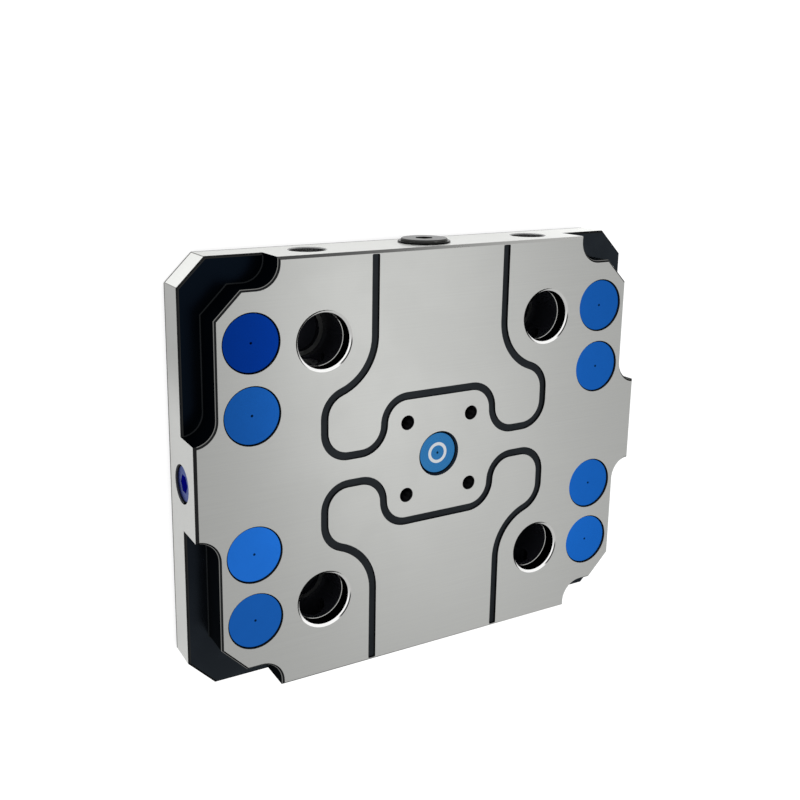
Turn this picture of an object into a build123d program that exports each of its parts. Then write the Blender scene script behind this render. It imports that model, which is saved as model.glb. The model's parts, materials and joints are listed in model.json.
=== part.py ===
from build123d import *
import math
import os

os.makedirs("parts", exist_ok=True)

# Zero point clamping plate: a ground steel block that takes four clamping studs on a square grid.
# One screw in the long side moves a wedge nut, the nut spreads two push rods, and each rod
# spreads two locking pistons into the stud bores.
# Millimetres. Origin at the centre of the bottom face, +Z out of the clamping face,
# +X along the long side, +Y towards the screw.

# Block
plate_length = 192.0
plate_width = 156.0
plate_height = 27.0
corner_cut = 10.0
rim_chamfer = 1.0
base_chamfer = 1.0

# Ledges milled into the four corners, for edge clamps
ledge_depth = 12.5
ledge_width_x = 8.0
ledge_width_y = 10.0
ledge_bevel = 9.5
ledge_run_x = 31.0
ledge_run_y = 61.0
ledge_mill_radius = 8.0
ledge_wall_chamfer = 0.8
ledge_edge_chamfer = 0.8
ledge_foot_radius = 0.5

# Stud bores
stud_pitch_x = 96.0
stud_pitch_y = 96.0
stud_bore_radius = 10.0
stud_mouth_chamfer = 0.35
stud_lead_width = 0.55
stud_lead_depth = 0.32
stud_guide_depth = 5.0
stud_lower_radius = 9.7
stud_step_depth = 20.5
stud_floor_radius = 8.1
stud_floor_depth = 23.0

# Mounting holes and their covers
mount_pitch_x = 150.0
mount_pitch_y_wide = 100.0
mount_pitch_y_narrow = 50.0
mount_hole_radius = 6.75
mount_head_radius = 10.0
mount_head_depth = 13.5
mount_hole_chamfer = 0.3
cover_seat_radius = 10.5
cover_seat_depth = 2.6
cover_clearance = 0.2
cover_thickness = 2.0
cover_edge_chamfer = 0.25
cover_dimple_radius = 0.45

# Centre bore and its cover
centre_bore_radius = 8.0
centre_bore_depth = 3.0
centre_mouth_chamfer = 0.7
centre_cover_clearance = 0.05
centre_cover_thickness = 2.0

# Small tapped holes around the centre
tapped_pitch = 28.0
tapped_radius = 2.5
tapped_depth = 12.0
tapped_chamfer = 0.3

# Grooves in the clamping face
groove_width = 3.0
groove_depth = 0.65
groove_orbit_radius = 20.0
groove_return_radius = 10.0
groove_lobe_radius = 9.5
groove_lobe_low_y = 5.2
groove_inner_x = 23.8
groove_end_land = 0.15
groove_end_radius = 0.5

# Bores of the mechanism, all at one height
axis_height = 13.5
rod_bore_radius = 6.0
slide_clearance = 0.03
plug_bore_radius = 6.6
plug_bore_length = 13.0
plug_mouth_chamfer = 0.4
plug_clearance = 0.02

# Wedge nut and screw
nut_bore_radius = 8.0
nut_clearance = 0.05
nut_end_room = 1.5
nut_tip_y = -5.0
nut_length = 35.0
nut_half_width = 4.2
nut_slope = 0.5
nut_travel = 7.5
wedge_gap = 0.06
screw_thread_radius = 4.95
thread_clearance = 0.05
screw_tip_y = 10.0
nut_hole_margin = 1.0
journal_radius = 6.0
journal_clearance = 0.04
bush_radius = 9.0
bush_length = 14.0
bush_bevel = 0.25
bush_flange_radius = 9.75
bush_flange_height = 0.7
head_radius = 8.65
head_height = 0.8
head_bevel = 0.3
head_play = 0.05
socket_across_flats = 6.0
socket_depth = 6.0
ring_groove_radius = 5.2
ring_outer_radius = 7.4
ring_thickness = 1.2

# Push rods and pistons
rod_slope = 0.8
rod_blade_half = 1.5
rod_head_room = 3.6
rod_head_length = 5.5
piston_blade_gap = 0.1
piston_rest_setback = 0.4
piston_tip_radius = 4.0
piston_tip_length = 2.0
seal_wire_radius = 0.75
seal_squeeze_gap = 0.02
piston_seal_setback = 7.0
screw_seal_setback = 8.0

# Return springs and screwed plugs
side_plug_length = 12.0
side_plug_recess = 0.8
side_plug_bevel = 0.4
bore_plug_length = 10.0
bore_plug_recess = 2.5
plug_socket_across_flats = 6.0
plug_socket_depth = 4.0
spigot_radius = 3.2
spigot_length = 2.0
spring_radius = 4.2
spring_wire_radius = 0.45
spring_turns = 6

# Places that follow from the sizes above
end_x = plate_length / 2
side_y = plate_width / 2
stud_x = stud_pitch_x / 2
stud_y = stud_pitch_y / 2
face_z = plate_height
over = 1.0
rod_radius = rod_bore_radius - slide_clearance
nut_radius = nut_bore_radius - nut_clearance
nut_bore_end_y = nut_tip_y - nut_travel - nut_end_room
blade_start_x = stud_x - rod_bore_radius + (rod_radius - rod_blade_half) / rod_slope
rod_head_x = stud_x + rod_bore_radius + rod_head_room
rod_end_x = rod_head_x + rod_head_length
side_plug_face_x = end_x - side_plug_recess
side_plug_inner_x = side_plug_face_x - side_plug_length
bush_inner_y = side_y - bush_length
head_under_y = side_y + bush_flange_height + head_play
piston_tip_y = stud_y - stud_lower_radius - piston_rest_setback

both_signs = (1, -1)
corners = [(sx, sy) for sy in both_signs for sx in (-1, 1)]


def turned(*profile):
    """Solid of revolution about Z through (radius, height) points."""
    points = [(radius, 0, height) for radius, height in profile]
    return revolve(make_face(Polyline(*points, close=True)), Axis.Z)


def towards_y(solid, x=0.0, y=0.0, sign=1):
    """Lay a solid made along Z along +Y or -Y, at the height of the mechanism."""
    return Pos(x, y, axis_height) * Rot(-90 * sign, 0, 0) * solid


def towards_x(solid, x=0.0, sign=1):
    """Lay a solid made along Z along +X or -X, at the height of the mechanism."""
    return Pos(x, 0, axis_height) * Rot(0, 90 * sign, 0) * solid


def mirrored_x(solid, sign):
    return solid if sign > 0 else mirror(solid, Plane.YZ)


def mirrored_y(solid, sign):
    return solid if sign > 0 else mirror(solid, Plane.XZ)


def hex_pocket(across_flats, depth):
    """Hexagon socket, opening at Z = 0 and going down."""
    return extrude(RegularPolygon(across_flats / 2, 6, major_radius=False), -depth)


def seal_ring(outer_radius):
    return Torus(outer_radius - seal_wire_radius, seal_wire_radius)


def seal_groove(outer_radius):
    """Ring cut out of a shaft for a seal, around Z = 0."""
    inner = outer_radius - 2 * seal_wire_radius
    half_width = seal_wire_radius + 0.15
    return turned((inner, -half_width), (outer_radius + over, -half_width),
                  (outer_radius + over, half_width), (inner, half_width))


# Clamping plate

def ledge_outline():
    """Plan of one corner ledge, open to both sides, its walls ending in milled arcs."""
    wall_x = end_x - ledge_width_x
    wall_y = side_y - ledge_width_y
    run_x = end_x - ledge_run_x
    run_y = side_y - ledge_run_y
    radius = ledge_mill_radius
    outline = Curve() + [
        Line((run_x, side_y + over), (run_x, wall_y + radius)),
        CenterArc((run_x + radius, wall_y + radius), radius, 180, 90),
        Line((run_x + radius, wall_y), (wall_x - ledge_bevel, wall_y)),
        Line((wall_x - ledge_bevel, wall_y), (wall_x, wall_y - ledge_bevel)),
        Line((wall_x, wall_y - ledge_bevel), (wall_x, run_y + radius)),
        CenterArc((wall_x + radius, run_y + radius), radius, 180, 90),
        Line((wall_x + radius, run_y), (end_x + over, run_y)),
        Line((end_x + over, run_y), (end_x + over, side_y + over)),
        Line((end_x + over, side_y + over), (run_x, side_y + over)),
    ]
    return make_face(outline.edges())


def on_outline(edge):
    """True for an edge of the block's outer sides, not of a ledge wall."""
    middle = edge @ 0.5
    x, y = abs(middle.X), abs(middle.Y)
    on_side = x > end_x - 0.01 or y > side_y - 0.01
    return on_side or x + y > end_x + side_y - corner_cut - 0.01


def plate_blank():
    outline = chamfer(Rectangle(plate_length, plate_width).vertices(), corner_cut)
    blank = extrude(outline, plate_height)
    ledge = Pos(0, 0, face_z - ledge_depth) * extrude(ledge_outline(), ledge_depth + over)
    for sx, sy in corners:
        blank -= mirrored_y(mirrored_x(ledge, sx), sy)
    rim = blank.edges().filter_by_position(Axis.Z, face_z - 0.01, face_z + 0.01)
    blank = chamfer(rim.filter_by(on_outline), rim_chamfer)
    rim = blank.edges().filter_by_position(Axis.Z, face_z - 0.01, face_z + 0.01)
    walls = [edge for edge in rim if on_ledge_wall(edge)]
    blank = chamfer(walls, ledge_wall_chamfer)
    shelf_z = face_z - ledge_depth
    shelf = blank.edges().filter_by_position(Axis.Z, shelf_z - 0.01, shelf_z + 0.01)
    blank = chamfer(shelf.filter_by(on_outline), ledge_edge_chamfer)
    shelf = blank.edges().filter_by_position(Axis.Z, shelf_z - 0.01, shelf_z + 0.01)
    blank = fillet([edge for edge in shelf if at_wall_foot(edge)], ledge_foot_radius)
    base = blank.edges().filter_by_position(Axis.Z, -0.01, 0.01)
    return chamfer(base, base_chamfer)


def on_ledge_wall(edge):
    """True for an edge of the clamping face along a ledge."""
    middle = edge @ 0.5
    inside_ledge_x = abs(middle.X) > end_x - ledge_run_x - 0.01
    inside_ledge_y = abs(middle.Y) > side_y - ledge_run_y - 0.01
    return inside_ledge_x and inside_ledge_y


def at_wall_foot(edge):
    """True for an edge where the floor of a ledge meets its wall."""
    middle = edge @ 0.5
    x, y = abs(middle.X), abs(middle.Y)
    inner_side = x < end_x - ledge_edge_chamfer - 0.01 and y < side_y - ledge_edge_chamfer - 0.01
    return inner_side and x + y < end_x + side_y - corner_cut - 2 * ledge_edge_chamfer


def groove_centreline():
    """Half of the upper groove, from the middle of the plate to the chamfer of its upper edge."""
    radius = groove_lobe_radius
    turn_y = groove_lobe_low_y + radius
    run_y = turn_y + radius
    return_y = stud_y - math.sqrt((groove_orbit_radius + groove_return_radius) ** 2
                                  - groove_return_radius ** 2)
    return_x = stud_x - groove_return_radius
    orbit_angle = math.degrees(math.atan2(return_y - stud_y, return_x - stud_x)) % 360
    stem_x = stud_x - groove_orbit_radius
    end_y = side_y - rim_chamfer - groove_end_land
    return [
        Line((0, run_y), (groove_inner_x - radius, run_y)),
        CenterArc((groove_inner_x - radius, turn_y), radius, 90, -90),
        CenterArc((groove_inner_x + radius, turn_y), radius, 180, 90),
        Line((groove_inner_x + radius, groove_lobe_low_y), (stud_x - radius, groove_lobe_low_y)),
        CenterArc((stud_x - radius, turn_y), radius, 270, 90),
        Line((stud_x, turn_y), (stud_x, return_y)),
        CenterArc((return_x, return_y), groove_return_radius, 0, orbit_angle - 180),
        CenterArc((stud_x, stud_y), groove_orbit_radius, orbit_angle, 180 - orbit_angle),
        Line((stem_x, stud_y), (stem_x, end_y)),
    ]


def groove_half():
    path = Wire(groove_centreline())
    section = Plane(origin=path @ 0, z_dir=path % 0) * Rectangle(groove_width, groove_width)
    swept = sweep(section, path)
    end_corners = swept.edges().filter_by(Axis.Z).group_by(Axis.Y)[-1]
    swept = fillet(end_corners, groove_end_radius)
    keep = Pos(0, 0, -groove_depth) * Box(4 * end_x, 4 * side_y, over + groove_depth,
                                          align=(Align.CENTER, Align.CENTER, Align.MIN))
    return Pos(0, 0, face_z) * (swept & keep)


def stud_bore():
    """Bore of a clamping stud: shallow lead-in, ground guide, relieved depth and its floor."""
    ledge = stud_bore_radius - stud_lower_radius
    lead_radius = stud_bore_radius + stud_lead_width
    return Pos(0, 0, face_z) * turned(
        (0, -stud_floor_depth),
        (stud_floor_radius, -stud_floor_depth),
        (stud_floor_radius, -stud_step_depth),
        (stud_lower_radius, -stud_step_depth),
        (stud_lower_radius, -stud_guide_depth - ledge),
        (stud_bore_radius, -stud_guide_depth),
        (stud_bore_radius, -stud_mouth_chamfer - stud_lead_depth),
        (lead_radius, -stud_mouth_chamfer),
        (lead_radius + stud_mouth_chamfer + over, over),
        (0, over),
    )


def mounting_hole():
    return turned(
        (0, -over),
        (mount_hole_radius + mount_hole_chamfer + over, -over),
        (mount_hole_radius, mount_hole_chamfer),
        (mount_hole_radius, face_z - mount_head_depth),
        (mount_head_radius, face_z - mount_head_depth),
        (mount_head_radius, face_z - cover_seat_depth),
        (cover_seat_radius, face_z - cover_seat_depth),
        (cover_seat_radius, face_z + over),
        (0, face_z + over),
    )


def centre_bore():
    return Pos(0, 0, face_z) * turned(
        (0, -centre_bore_depth),
        (centre_bore_radius, -centre_bore_depth),
        (centre_bore_radius, -centre_mouth_chamfer),
        (centre_bore_radius + centre_mouth_chamfer + over, over),
        (0, over),
    )


def tapped_hole():
    point = tapped_radius * math.tan(math.radians(31))
    return Pos(0, 0, face_z) * turned(
        (0, -tapped_depth - point),
        (tapped_radius, -tapped_depth),
        (tapped_radius, -tapped_chamfer),
        (tapped_radius + tapped_chamfer + over, over),
        (0, over),
    )


def plugged_bore(length):
    """Bore along +Z from Z = 0, with the wider seat of its plug and a chamfered mouth at the end."""
    return turned(
        (0, 0),
        (rod_bore_radius, 0),
        (rod_bore_radius, length - plug_bore_length),
        (plug_bore_radius, length - plug_bore_length),
        (plug_bore_radius, length - plug_mouth_chamfer),
        (plug_bore_radius + plug_mouth_chamfer + over, length + over),
        (0, length + over),
    )


def screw_bore():
    length = side_y - nut_bore_end_y
    shoulder = length - bush_length
    return turned((0, 0), (nut_bore_radius, 0), (nut_bore_radius, shoulder),
                  (bush_radius, shoulder), (bush_radius, length + over), (0, length + over))


def mounting_places():
    rows = (mount_pitch_y_wide / 2, mount_pitch_y_narrow / 2,
            -mount_pitch_y_narrow / 2, -mount_pitch_y_wide / 2)
    return [(sx * mount_pitch_x / 2, y) for sx in (-1, 1) for y in rows]


def clamping_plate():
    plate = plate_blank()
    plate -= [Pos(sx * stud_x, sy * stud_y, 0) * stud_bore() for sx, sy in corners]
    plate -= [Pos(x, y, 0) * mounting_hole() for x, y in mounting_places()]
    plate -= centre_bore()
    half_tap = tapped_pitch / 2
    plate -= [Pos(sx * half_tap, sy * half_tap, 0) * tapped_hole() for sx, sy in corners]
    plate -= [towards_x(plugged_bore(end_x), sign=sign) for sign in both_signs]
    plate -= [towards_y(plugged_bore(side_y), x=sx * stud_x, sign=sy) for sx, sy in corners]
    plate -= towards_y(screw_bore(), y=nut_bore_end_y)
    half = groove_half()
    for sx, sy in corners:
        plate -= mirrored_y(mirrored_x(half, sx), sy)
    return plate


# Covers and plugs

def round_cover(radius, thickness):
    """Flat disc on Z = 0 with a bevelled upper edge and a centre mark."""
    edge = cover_edge_chamfer
    dimple = cover_dimple_radius
    return turned((0, 0), (radius, 0), (radius, thickness - edge), (radius - edge, thickness),
                  (dimple, thickness), (0, thickness - dimple))


def mounting_cover(x, y):
    disc = round_cover(cover_seat_radius - cover_clearance, cover_thickness)
    return Pos(x, y, face_z - cover_seat_depth) * disc


def centre_cover():
    disc = round_cover(centre_bore_radius - centre_cover_clearance, centre_cover_thickness)
    return Pos(0, 0, face_z - centre_bore_depth) * disc


def screwed_plug(length, spigot):
    """Plug along Z, its outer face at Z = 0, with a hexagon socket and an optional inner spigot."""
    radius = plug_bore_radius - plug_clearance
    bevel = side_plug_bevel
    profile = [(0, -length), (radius - bevel, -length), (radius, -length + bevel),
               (radius, -bevel), (radius - bevel, 0), (0, 0)]
    if spigot:
        profile = [(0, -length - spigot_length), (spigot_radius, -length - spigot_length),
                   (spigot_radius, -length)] + profile[1:]
    socket = hex_pocket(plug_socket_across_flats, plug_socket_depth)
    return turned(*profile) - socket


def side_plug(sign):
    return towards_x(screwed_plug(side_plug_length, True), x=sign * side_plug_face_x, sign=sign)


def bore_plug(sx, sy):
    plug = screwed_plug(bore_plug_length, False)
    return towards_y(plug, x=sx * stud_x, y=sy * (side_y - bore_plug_recess), sign=sy)


# Screw, bush and wedge nut

def actuator_bush():
    """Flanged bush in the side of the plate, flange outside, made along Z from its inner end."""
    radius = bush_radius - plug_clearance
    top = bush_length + bush_flange_height
    bush = turned((0, 0), (radius, 0), (radius, bush_length), (bush_flange_radius, bush_length),
                  (bush_flange_radius, top - bush_bevel), (bush_flange_radius - bush_bevel, top),
                  (0, top))
    hole = Cylinder(journal_radius + journal_clearance, 4 * bush_length)
    return towards_y(bush - hole, y=bush_inner_y)


def screw_seal_y():
    return side_y - screw_seal_setback


def ring_y():
    """Outer face of the retaining ring, just behind the bush."""
    return bush_inner_y - head_play


def actuating_screw():
    """Head, journal and thread in one, made along Z with its thread's end at Z = 0."""
    head_z = head_under_y - screw_tip_y
    top_z = head_z + head_height
    journal_z = ring_y() - 2 * ring_thickness - screw_tip_y
    lead_in = 1.0
    screw = turned(
        (0, 0), (screw_thread_radius - lead_in, 0), (screw_thread_radius, lead_in),
        (screw_thread_radius, journal_z), (journal_radius, journal_z), (journal_radius, head_z),
        (head_radius, head_z), (head_radius, top_z - head_bevel),
        (head_radius - head_bevel, top_z), (0, top_z))
    screw -= Pos(0, 0, top_z) * hex_pocket(socket_across_flats, socket_depth)
    screw -= Pos(0, 0, screw_seal_y() - screw_tip_y) * seal_groove(journal_radius)
    ring_low = ring_y() - ring_thickness - screw_tip_y
    screw -= turned((ring_groove_radius, ring_low), (journal_radius + over, ring_low),
                    (journal_radius + over, ring_low + ring_thickness),
                    (ring_groove_radius, ring_low + ring_thickness))
    return towards_y(screw, y=screw_tip_y)


def retaining_ring():
    """Open ring in the groove of the screw, on the inner side of the bush."""
    ring = Cylinder(ring_outer_radius, ring_thickness) - Cylinder(ring_groove_radius, ring_thickness)
    gap = Box(2 * ring_outer_radius, ring_groove_radius, ring_thickness,
              align=(Align.MIN, Align.CENTER, Align.CENTER))
    return towards_y(ring - gap, y=ring_y() - ring_thickness / 2)


def screw_seal():
    return towards_y(seal_ring(journal_radius), y=screw_seal_y())


def wedge_nut():
    """Round nut with two sloped flats, which push the rods apart as it moves along -Y."""
    back_y = nut_tip_y + nut_length
    nut = towards_y(Cylinder(nut_radius, nut_length, align=(Align.CENTER, Align.CENTER, Align.MIN)),
                    y=nut_tip_y)
    hole_end_y = screw_tip_y - nut_hole_margin
    hole = Cylinder(screw_thread_radius + thread_clearance, back_y - hole_end_y + over,
                    align=(Align.CENTER, Align.CENTER, Align.MIN))
    nut -= towards_y(hole, y=hole_end_y)
    reach = 2 * nut_radius
    full_y = (reach - nut_half_width) / nut_slope
    for sign in both_signs:
        side = make_face(Polyline(
            (sign * (nut_half_width - nut_slope * reach), -reach),
            (sign * reach, full_y),
            (sign * 2 * reach, full_y),
            (sign * 2 * reach, -reach), close=True))
        nut -= extrude(side, plate_height)
    return nut


# Push rods, pistons and springs

def wedge_half_thickness(x):
    """Half thickness of the right push rod's outer wedge at x, with the plate open."""
    return rod_blade_half + (blade_start_x - x) * rod_slope


def push_rod(sign):
    """Rod along X: a sloped inner end, a double wedge, a thin blade and a round head."""
    rod = towards_x(Cylinder(rod_radius, rod_end_x, align=(Align.CENTER, Align.CENTER, Align.MIN)))
    rod += towards_x(Cylinder(spigot_radius, spigot_length,
                              align=(Align.CENTER, Align.CENTER, Align.MIN)), x=rod_end_x)
    reach = 2 * rod_radius
    inner_x = nut_half_width + wedge_gap
    inner = make_face(Polyline(
        (-reach, -reach), (inner_x - nut_slope * reach, -reach),
        (inner_x + nut_slope * reach, reach), (-reach, reach), close=True))
    rod -= extrude(inner, plate_height)
    start_x = stud_x - rod_bore_radius - rod_radius / rod_slope
    for side in both_signs:
        flat = make_face(Polyline(
            (start_x, side * wedge_half_thickness(start_x)),
            (blade_start_x, side * rod_blade_half),
            (rod_head_x, side * rod_blade_half),
            (rod_head_x, side * 2 * wedge_half_thickness(start_x)),
            (start_x, side * 2 * wedge_half_thickness(start_x)), close=True))
        rod -= extrude(flat, plate_height)
    return mirrored_x(rod, sign)


def locking_piston(sx, sy):
    """Piston along Y, sloped at its inner end to match the push rod, coned at its tip."""
    inner_y = rod_blade_half + piston_blade_gap
    cone_y = piston_tip_y - piston_tip_length
    body = turned((0, inner_y), (rod_radius, inner_y), (rod_radius, cone_y),
                  (piston_tip_radius, piston_tip_y), (0, piston_tip_y))
    body -= Pos(0, 0, piston_tip_y - piston_seal_setback) * seal_groove(rod_radius)
    piston = towards_y(body, x=stud_x)
    low_x = stud_x - 2 * rod_radius
    slope = make_face(Polyline(
        (low_x, 0), (blade_start_x + 2 * rod_radius, 0),
        (blade_start_x + 2 * rod_radius, rod_blade_half + wedge_gap),
        (blade_start_x, rod_blade_half + wedge_gap),
        (low_x, wedge_half_thickness(low_x) + wedge_gap), close=True))
    piston -= extrude(slope, plate_height)
    return mirrored_y(mirrored_x(piston, sx), sy)


def piston_seal(sx, sy):
    ring = seal_ring(rod_bore_radius - seal_squeeze_gap)
    return towards_y(ring, x=sx * stud_x, y=sy * (piston_tip_y - piston_seal_setback))


def return_spring(sign):
    """Open coil spring between the rod's head and the side plug."""
    length = side_plug_inner_x - rod_end_x - 2 * spring_wire_radius
    helix = Helix(pitch=length / spring_turns, height=length, radius=spring_radius)
    section = Plane(origin=helix @ 0, z_dir=helix % 0) * Circle(spring_wire_radius)
    coil = sweep(section, helix, is_frenet=True)
    return towards_x(coil, x=sign * (rod_end_x + spring_wire_radius), sign=sign)


side_names = {1: "right", -1: "left"}
edge_names = {1: "upper", -1: "lower"}
pieces = {"clamping_plate": clamping_plate()}
for number, (x, y) in enumerate(mounting_places(), start=1):
    pieces[f"mounting_cover_{number}"] = mounting_cover(x, y)
pieces["centre_cover"] = centre_cover()
pieces["actuator_bush"] = actuator_bush()
pieces["actuating_screw"] = actuating_screw()
pieces["retaining_ring"] = retaining_ring()
pieces["screw_seal"] = screw_seal()
pieces["wedge_nut"] = wedge_nut()
for sx in both_signs:
    pieces[f"side_plug_{side_names[sx]}"] = side_plug(sx)
    pieces[f"push_rod_{side_names[sx]}"] = push_rod(sx)
    pieces[f"return_spring_{side_names[sx]}"] = return_spring(sx)
    for sy in both_signs:
        place = f"{edge_names[sy]}_{side_names[sx]}"
        pieces[f"locking_piston_{place}"] = locking_piston(sx, sy)
        pieces[f"piston_seal_{place}"] = piston_seal(sx, sy)
        pieces[f"bore_plug_{place}"] = bore_plug(sx, sy)

for name, solid in pieces.items():
    export_step(solid, f"parts/{name}.step")
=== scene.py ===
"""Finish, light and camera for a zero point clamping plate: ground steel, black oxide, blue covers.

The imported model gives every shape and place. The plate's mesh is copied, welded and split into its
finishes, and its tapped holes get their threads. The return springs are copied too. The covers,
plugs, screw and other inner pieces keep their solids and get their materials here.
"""

import json
import math

import bmesh
import bpy
from mathutils import Euler, Matrix, Vector

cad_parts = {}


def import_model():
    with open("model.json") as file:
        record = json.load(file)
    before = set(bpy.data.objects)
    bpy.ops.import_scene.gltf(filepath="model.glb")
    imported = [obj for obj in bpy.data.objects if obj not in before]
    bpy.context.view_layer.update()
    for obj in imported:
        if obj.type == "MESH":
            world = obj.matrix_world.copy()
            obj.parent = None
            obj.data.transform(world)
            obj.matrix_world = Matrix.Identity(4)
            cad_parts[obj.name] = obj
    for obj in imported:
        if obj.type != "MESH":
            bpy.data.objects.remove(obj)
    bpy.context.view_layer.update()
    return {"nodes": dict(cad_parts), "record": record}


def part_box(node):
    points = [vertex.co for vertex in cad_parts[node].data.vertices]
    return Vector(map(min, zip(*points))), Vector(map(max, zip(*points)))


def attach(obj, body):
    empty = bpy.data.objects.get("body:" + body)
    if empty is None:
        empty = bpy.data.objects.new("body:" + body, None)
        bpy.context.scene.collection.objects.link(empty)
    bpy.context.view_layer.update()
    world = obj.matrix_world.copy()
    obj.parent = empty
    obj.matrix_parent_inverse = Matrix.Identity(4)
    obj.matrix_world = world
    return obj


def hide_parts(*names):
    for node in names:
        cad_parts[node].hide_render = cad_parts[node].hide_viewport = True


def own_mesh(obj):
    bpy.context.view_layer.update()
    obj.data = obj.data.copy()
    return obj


MM = 0.001

# The photograph's view, from a fit to its edges and hole centres
PICTURE_PX = 800
CAMERA_MM = (-192.38, 120.44, 310.31)
CAMERA_TURN_DEG = (-12.393, -26.979, 0.004)
FOCAL_PX = 954.97
CENTRE_PX = (324.36, 333.93)
SENSOR_MM = 36.0
CLIP_START_M = 0.01
CLIP_END_M = 20

# Sizes of the plate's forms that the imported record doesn't give, in millimetres
MOUTH_WIDTH = 0.9
MOUTH_DEPTH = 0.67
GUIDE_DEPTH = 5.0
RING_HEIGHT = 0.3
STEP_DEPTH = 20.5
RIM_CHAMFER = 1.0
EDGE_CHAMFER = 0.8
CENTRE_MOUTH = 0.7
TAP_CHAMFER = 0.3
WALL_FOOT_RADIUS = 0.5
PLUG_HOLE_DEPTH = 13.0
GROOVE_DEPTH = 0.65
TAP_DEPTH = 12.0
CORNER_CUT = 10.0
STUD_PLACE = 48.0
TAP_PLACE = 14.0
THREAD_PITCH = 1.0
THREAD_DEPTH = 0.45
THREAD_SIDES = 42
STEPS_PER_PITCH = 8

# How far past its own size a form still counts, in millimetres, and how a face's normal tells
# which way it faces
TOLERANCE = 0.02
MARGIN = 0.05
COVER_SEAT_MARGIN = 0.3
PLUG_HOLE_MARGIN = 0.9
FLAT_NORMAL = 0.999
END_NORMAL = 0.9
TILTED_NORMAL = 0.5
NORMAL_SLACK = 0.01
WELD_DISTANCE_M = 1e-6
SMOOTH_ANGLE_DEG = 28

# Where the finish and its painted light and shade change, in millimetres from the plate's origin: an
# axis with two places on it, or two heights
# Painted light: the long sides lighter towards +X between these places
SIDE_PAINTED_LIGHT = ("X", 30, 85)
# Painted shade: the ends darker towards +Y between these places
END_PAINTED_SHADE = ("Y", 20, 48)
# Painted light: the long rim chamfers lighter towards +X between these places
RIM_PAINTED_LIGHT = ("X", -60, 60)
# Bare bands from wear on edges, which are also painted highlights: the bore ring, the pocket walls'
# top edges and the ledge edges
RING_WEAR_AND_HIGHLIGHT = (21.77, 21.9)
WALL_EDGE_WEAR_AND_HIGHLIGHT = (26.2, 26.4)
LEDGE_EDGE_WEAR_AND_HIGHLIGHT = (14.3, 14.5)
# Painted contact shadow: a dark band on the sides just above the lower chamfer
UNDER_EDGE_PAINTED_SHADOW = (RIM_CHAMFER, RIM_CHAMFER + 0.9)
# Painted shade: darker, bluer oxide towards the upper left corner, over this reach, and how much
# bluer
PAINTED_SHADE_REACH = 115.0
PAINTED_SHADE_BLUE = 1.8

# The same from a form's own edge or axis: depths, widths and radii in millimetres
# Depths below the face where a stud bore's mouth changes from its outer chamfer to its inner one;
# both carry painted highlights, and the outer one a painted shade
MOUTH_LINE = (0.4, 0.3)
# Bare steel from rubbing on the screw's front face, also a painted highlight, between these depths
# behind it
SCREW_FACE_RUB_AND_HIGHLIGHT = (0.15, 0.05)
# Where the side plug's socket is painted lighter, as if lit inside: depths behind the face, and its
# reach
SOCKET_START = (0.2, 0.1)
SOCKET_REACH = 3.6
# Painted highlight on the thread crests, between these radii
THREAD_CREST_HIGHLIGHT = (2.3, 2.52)
# Painted shade: a dark line this wide each side of a corner facet's edges
CORNER_EDGE_SHADE = 0.5
# Painted shade: the covers' dye darkened outside these radii
COVER_EDGE = 9.95
CENTRE_COVER_EDGE = 7.7
CENTRE_MARK = (2.86, 4.05)
# Painted shade: the dye darkened inside the centre dimple
DIMPLE_RADIUS = 0.45
MASK_SOFTNESS = 0.05

# Slightly warm grey of the ground steel, and how much less blue than red bare steel shows
STEEL_TINT = (0.991, 1.0, 0.971)
BARE_WARMTH = 0.97

# The covers' dye colours, with painted light and shade in them: the first mounting cover's own
# darker dye, and how light each of the others is painted, in the order of their numbers
FIRST_COVER_DYE_AND_SHADE = (0.001, 0.0215, 0.172)
COVER_DYE = (0.013, 0.13, 0.53)
COVER_PAINTED_LIGHT = (0.5, 0.9, 0.62, 0.57, 0.61, 0.66, 0.73)
CENTRE_COVER_DYE = (0.016, 0.088, 0.21)

# Soft boxes round the plate: direction, width and length in metres, brightness
SOFT_BOXES = {
    "main left": ((0.4, -0.1, 0.9), (0.14, 0.7), 1.29),
    "main middle": ((0.49, -0.1, 0.86), (0.14, 0.7), 0.68),
    "main right": ((0.58, -0.12, 0.8), (0.16, 0.7), 0.69),
    "front": ((0.5, -0.35, 0.79), (0.35, 0.35), 0.14),
    "front low": ((0.35, -0.55, 0.76), (0.5, 0.3), 0.16),
    "right": ((0.75, -0.12, 0.64), (0.3, 0.7), 0.14),
}
LAMP_DISTANCE_M = 1.0
ROOM_LIGHT = 0.9
BACKDROP_LIGHT = 1.0

# The floor: its reach and drop in metres, how far its opening lies inside the plate's edge in
# millimetres, the greys that it has for the light and for the camera, and its contact shadow
FLOOR_REACH_M = 3.0
FLOOR_DROP_M = 0.0002
FLOOR_INSET = 1.5
FLOOR_GREY = 0.8
FLOOR_SEEN_GREY = 0.3
SHADOW_REACH_M = 0.004
SHADOW_SAMPLES = 4
FADE_M = (0.2, 0.6)

VECTOR, NUMBER, COUNT = "NodeSocketVector", "NodeSocketFloat", "NodeSocketInt"
GEOMETRY, MATERIAL = "NodeSocketGeometry", "NodeSocketMaterial"


# Camera

def add_camera():
    data = bpy.data.cameras.new("camera")
    data.sensor_fit = "HORIZONTAL"
    data.sensor_width = SENSOR_MM
    data.lens = FOCAL_PX / PICTURE_PX * SENSOR_MM
    data.shift_x = (PICTURE_PX / 2 - CENTRE_PX[0]) / PICTURE_PX
    data.shift_y = (CENTRE_PX[1] - PICTURE_PX / 2) / PICTURE_PX
    data.clip_start = CLIP_START_M
    data.clip_end = CLIP_END_M
    camera = bpy.data.objects.new("camera", data)
    camera.location = Vector(CAMERA_MM) * MM
    camera.rotation_euler = Euler([math.radians(a) for a in CAMERA_TURN_DEG])
    bpy.context.scene.collection.objects.link(camera)
    bpy.context.scene.camera = camera


# Node helpers

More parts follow.
